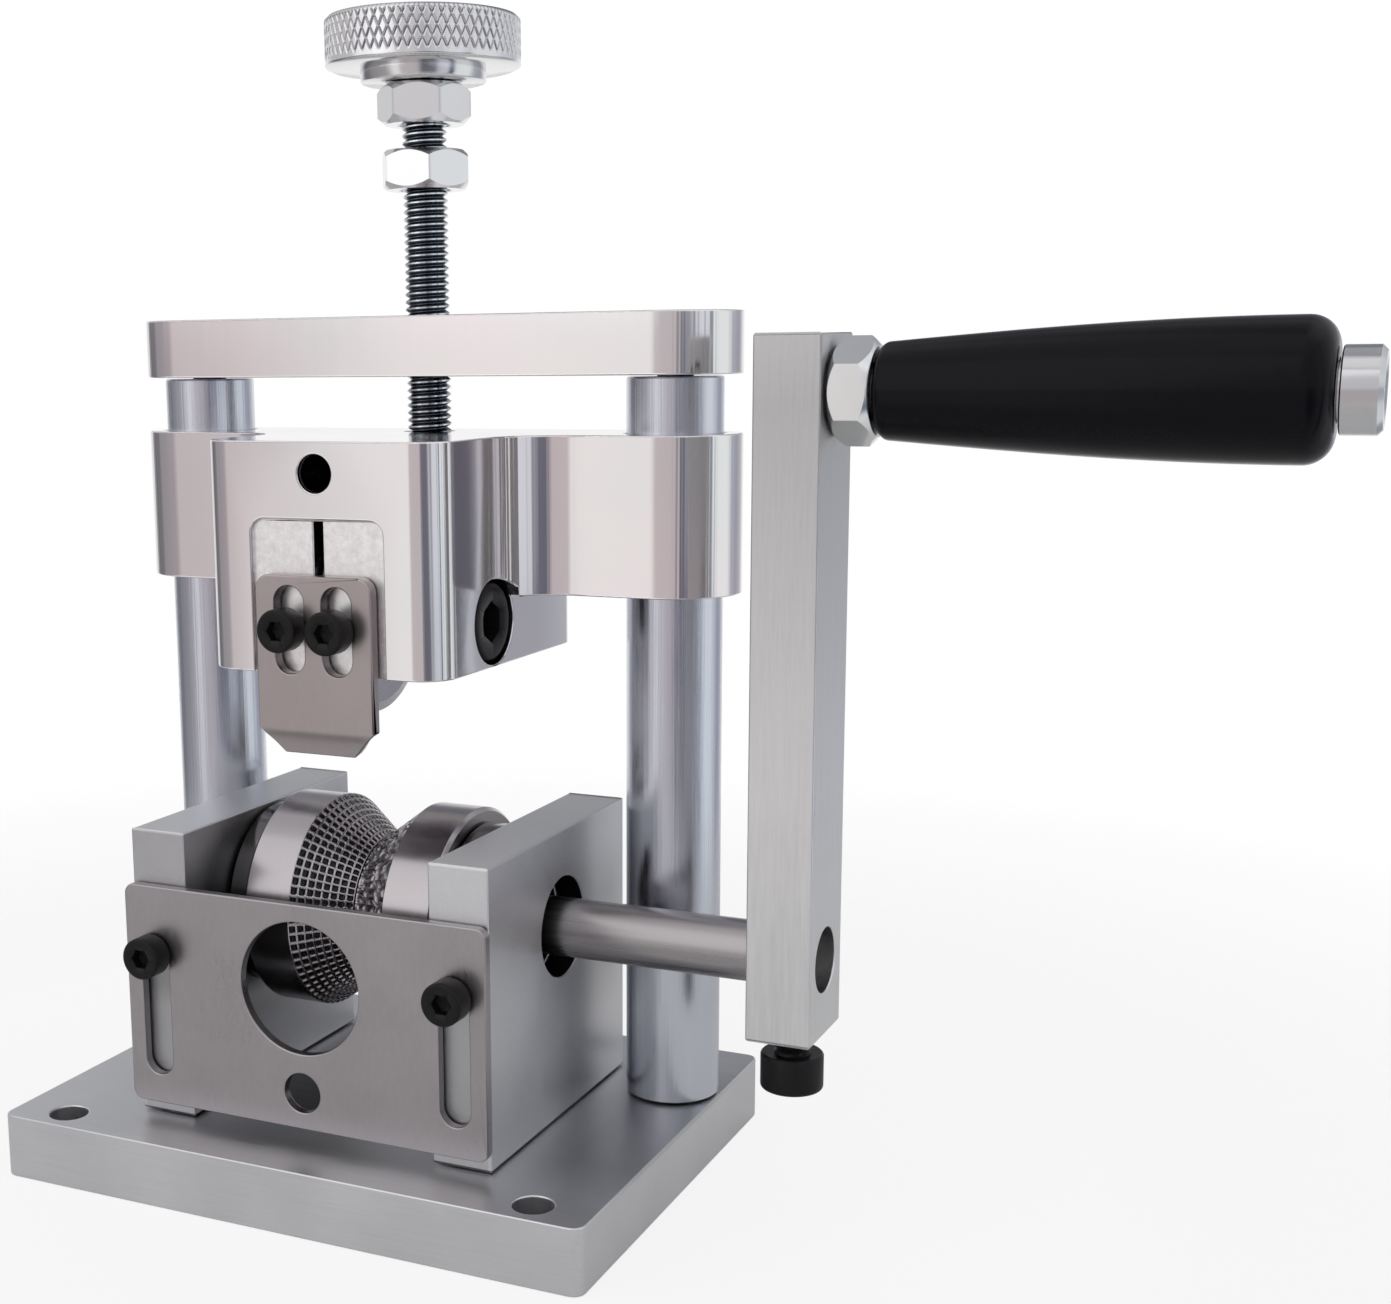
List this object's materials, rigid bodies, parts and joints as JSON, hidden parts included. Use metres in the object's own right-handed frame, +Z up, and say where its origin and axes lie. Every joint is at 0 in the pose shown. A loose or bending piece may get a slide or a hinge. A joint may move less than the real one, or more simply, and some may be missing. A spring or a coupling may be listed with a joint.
{
  "type": "hand crank wire stripper",
  "caption": "Bench wire stripper: knurled grooved wheels on a crank shaft pull cable under a round blade whose carriage slides on posts, set by a knurled lead screw.",
  "frame": {"origin": "centre of the base plate's underside", "axes": "+X along the crank shaft towards the crank, +Y to the back, +Z up along the posts; the guard and the blade's guide plate face -Y"},
  "size_m": [0.2094, 0.08, 0.1931],
  "materials": {
    "satin_aluminium": "sawn and brushed aluminium, satin",
    "milled_aluminium": "finely milled aluminium with bright chamfers",
    "knurled_aluminium": "aluminium with a diamond knurl",
    "ground_steel": "ground and chromed round bar",
    "satin_stainless": "satin stainless sheet",
    "wheel_steel": "turned steel with a cut knurl on the cone",
    "shaft_steel": "turned steel",
    "bearing_steel": "polished bearing steel",
    "blade_steel": "ground blade steel",
    "thread_steel": "blued threaded rod",
    "bright_zinc": "bright zinc plate",
    "black_oxide": "black oxide, slightly oily",
    "black_grip": "glossy black moulded plastic"
  },
  "bodies": {
    "frame": {"base_plate": "satin_aluminium", "post_left": "ground_steel", "post_right": "ground_steel", "post_base_screw_left": "black_oxide", "post_base_screw_right": "black_oxide", "top_bridge": "milled_aluminium", "bridge_screw_left": "black_oxide", "bridge_screw_right": "black_oxide", "cheek_left": "satin_aluminium", "cheek_right": "satin_aluminium", "cheek_screw_left_front": "black_oxide", "cheek_screw_left_back": "black_oxide", "cheek_screw_right_front": "black_oxide", "cheek_screw_right_back": "black_oxide", "bearing_left_outer": "bearing_steel", "bearing_right_outer": "bearing_steel", "guard_screw_left": "black_oxide", "guard_screw_right": "black_oxide"},
    "guard": {"front_guard": "satin_stainless"},
    "crank": {"crank_shaft": "shaft_steel", "wheel_left": "wheel_steel", "wheel_right": "wheel_steel", "wheel_set_screw_left": "black_oxide", "wheel_set_screw_right": "black_oxide", "collar_left": "shaft_steel", "collar_right": "shaft_steel", "bearing_left_inner": "bearing_steel", "bearing_right_inner": "bearing_steel", "crank_arm": "satin_aluminium", "clamp_screw": "black_oxide", "handle_nut": "bright_zinc", "handle_spindle": "bright_zinc"},
    "ball_cages": {"bearing_left_balls": "bearing_steel", "bearing_right_balls": "bearing_steel"},
    "grip": {"handle_grip": "black_grip"},
    "carriage": {"carriage": "milled_aluminium", "blade_axle": "black_oxide", "guide_screw_left": "black_oxide", "guide_screw_right": "black_oxide", "lead_pin": "black_oxide"},
    "blade": {"round_blade": "blade_steel"},
    "guide": {"guide_plate": "satin_stainless"},
    "lead": {"lead_screw": "thread_steel", "jam_nut": "bright_zinc", "knurled_knob": "knurled_aluminium"},
    "stop_nut": {"stop_nut": "bright_zinc"}
  },
  "joints": [
    {"name": "crank_spin", "type": "hinge", "parent": "frame", "child": "crank", "pos_m": [0, 0, 0.04395], "axis": [1, 0, 0], "continuous": true},
    {"name": "ball_cage_spin", "type": "hinge", "parent": "frame", "child": "ball_cages", "pos_m": [0, 0, 0.04395], "axis": [1, 0, 0], "continuous": true},
    {"name": "grip_spin", "type": "hinge", "parent": "crank", "child": "grip", "pos_m": [0.0852, 0, 0.1316], "axis": [1, 0, 0], "continuous": true},
    {"name": "guard_slide", "type": "slide", "parent": "frame", "child": "guard", "axis": [0, 0, 1], "range_m": [-0.0008, 0.019]},
    {"name": "carriage_slide", "type": "slide", "parent": "frame", "child": "carriage", "axis": [0, 0, 1], "range_m": [-0.0207, 0.0091]},
    {"name": "screw_turn", "type": "hinge", "parent": "carriage", "child": "lead", "pos_m": [0, 0.0182, 0.1245], "axis": [0, 0, 1], "range_deg": [-5962, 2621]},
    {"name": "blade_spin", "type": "hinge", "parent": "carriage", "child": "blade", "pos_m": [0, -0.0017, 0.0946], "axis": [1, 0, 0], "continuous": true},
    {"name": "guide_slide", "type": "slide", "parent": "carriage", "child": "guide", "axis": [0, 0, 1], "range_m": [-0.0044, 0.005]},
    {"name": "stop_nut_slide", "type": "slide", "parent": "lead", "child": "stop_nut", "axis": [0, 0, 1], "range_m": [0, 0.0039]}
  ],
  "couplings": [
    {"joint": "screw_turn", "follows": "carriage_slide", "rad_per_m": 5026.5},
    {"joint": "ball_cage_spin", "follows": "crank_spin", "ratio": 0.4218}
  ]
}
